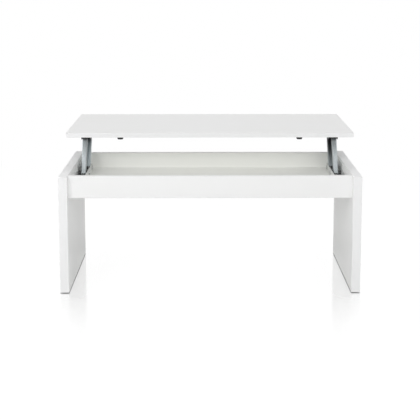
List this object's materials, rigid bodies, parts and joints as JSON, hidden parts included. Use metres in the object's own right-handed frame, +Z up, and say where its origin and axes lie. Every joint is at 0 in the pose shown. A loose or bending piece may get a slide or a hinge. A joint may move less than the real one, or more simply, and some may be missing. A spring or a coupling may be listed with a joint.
{
  "type": "lift top coffee table",
  "caption": "White coffee table with slab sides, a shallow storage tray, and a top that lifts up and back on parallel steel arms and stays level.",
  "frame": {"origin": "on the floor, at the middle of the carcass between the side panels", "axes": "+X to the right along the table, +Y to the back, +Z up; the front faces -Y"},
  "size_m": [1.02, 0.6923, 0.5178],
  "materials": {
    "white_board": "satin white melamine on chipboard",
    "beech": "bare beech",
    "zinc": "zinc plated",
    "zinc_screws": "zinc plated",
    "white_plastic": "moulded",
    "grey_plastic": "moulded",
    "pin_steel": "turned, bright zinc",
    "black_nylon": "moulded nylon",
    "black_rubber": "moulded rubber",
    "grey_rubber": "moulded rubber",
    "arm_paint": "silver grey powder coat",
    "rear_arm_paint": "silver grey powder coat",
    "top_bracket_paint": "black powder coat",
    "bracket_paint": "light grey powder coat"
  },
  "bodies": {
    "carcass": {"back_rail": "white_board", "cam_bolts": "zinc", "cam_covers": "white_plastic", "cam_locks": "zinc", "dowels": "beech", "floor_glides": "grey_plastic", "front_rail": "white_board", "left_base_bracket": "bracket_paint", "left_base_bracket_floor_screws": "zinc_screws", "left_base_bracket_panel_screws": "zinc_screws", "left_front_base_pin": "pin_steel", "left_rear_base_pin": "pin_steel", "left_side_panel": "white_board", "left_stop_sleeve": "grey_rubber", "left_stop_stud": "pin_steel", "right_base_bracket": "bracket_paint", "right_base_bracket_floor_screws": "zinc_screws", "right_base_bracket_panel_screws": "zinc_screws", "right_front_base_pin": "pin_steel", "right_rear_base_pin": "pin_steel", "right_side_panel": "white_board", "right_stop_sleeve": "grey_rubber", "right_stop_stud": "pin_steel", "tray_bottom": "white_board"},
    "lifting_top": {"bumper_screws": "zinc_screws", "left_front_top_pin": "pin_steel", "left_rear_top_pin": "pin_steel", "left_top_bracket": "top_bracket_paint", "left_top_bracket_screws": "zinc_screws", "right_front_top_pin": "pin_steel", "right_rear_top_pin": "pin_steel", "right_top_bracket": "top_bracket_paint", "right_top_bracket_screws": "zinc_screws", "rubber_bumpers": "black_rubber", "table_top": "white_board"},
    "left_front_arm": {"left_front_arm": "arm_paint", "left_front_arm_bushes": "black_nylon"},
    "left_rear_arm": {"left_rear_arm": "rear_arm_paint", "left_rear_arm_bushes": "black_nylon"},
    "right_front_arm": {"right_front_arm": "arm_paint", "right_front_arm_bushes": "black_nylon"},
    "right_rear_arm": {"right_rear_arm": "rear_arm_paint", "right_rear_arm_bushes": "black_nylon"}
  },
  "joints": [
    {"name": "lift", "type": "hinge", "parent": "carcass", "child": "left_front_arm", "pos_m": [-0.4585, 0.05087, 0.3585], "axis": [1, 0, 0], "range_deg": [0, 107]},
    {"name": "right_front_arm_swing", "type": "hinge", "parent": "carcass", "child": "right_front_arm", "pos_m": [0.4585, 0.05087, 0.3585], "axis": [1, 0, 0], "range_deg": [0, 107]},
    {"name": "left_rear_arm_swing", "type": "hinge", "parent": "carcass", "child": "left_rear_arm", "pos_m": [-0.4525, 0.15087, 0.3585], "axis": [1, 0, 0], "range_deg": [0, 107]},
    {"name": "right_rear_arm_swing", "type": "hinge", "parent": "carcass", "child": "right_rear_arm", "pos_m": [0.4525, 0.15087, 0.3585], "axis": [1, 0, 0], "range_deg": [0, 107]},
    {"name": "top_level", "type": "hinge", "parent": "left_front_arm", "child": "lifting_top", "pos_m": [-0.4585, 0.11953, 0.47936], "axis": [1, 0, 0], "range_deg": [-107, 0]}
  ],
  "couplings": [
    {"joint": "right_front_arm_swing", "follows": "lift", "ratio": 1},
    {"joint": "left_rear_arm_swing", "follows": "lift", "ratio": 1},
    {"joint": "right_rear_arm_swing", "follows": "lift", "ratio": 1},
    {"joint": "top_level", "follows": "lift", "ratio": -1}
  ]
}
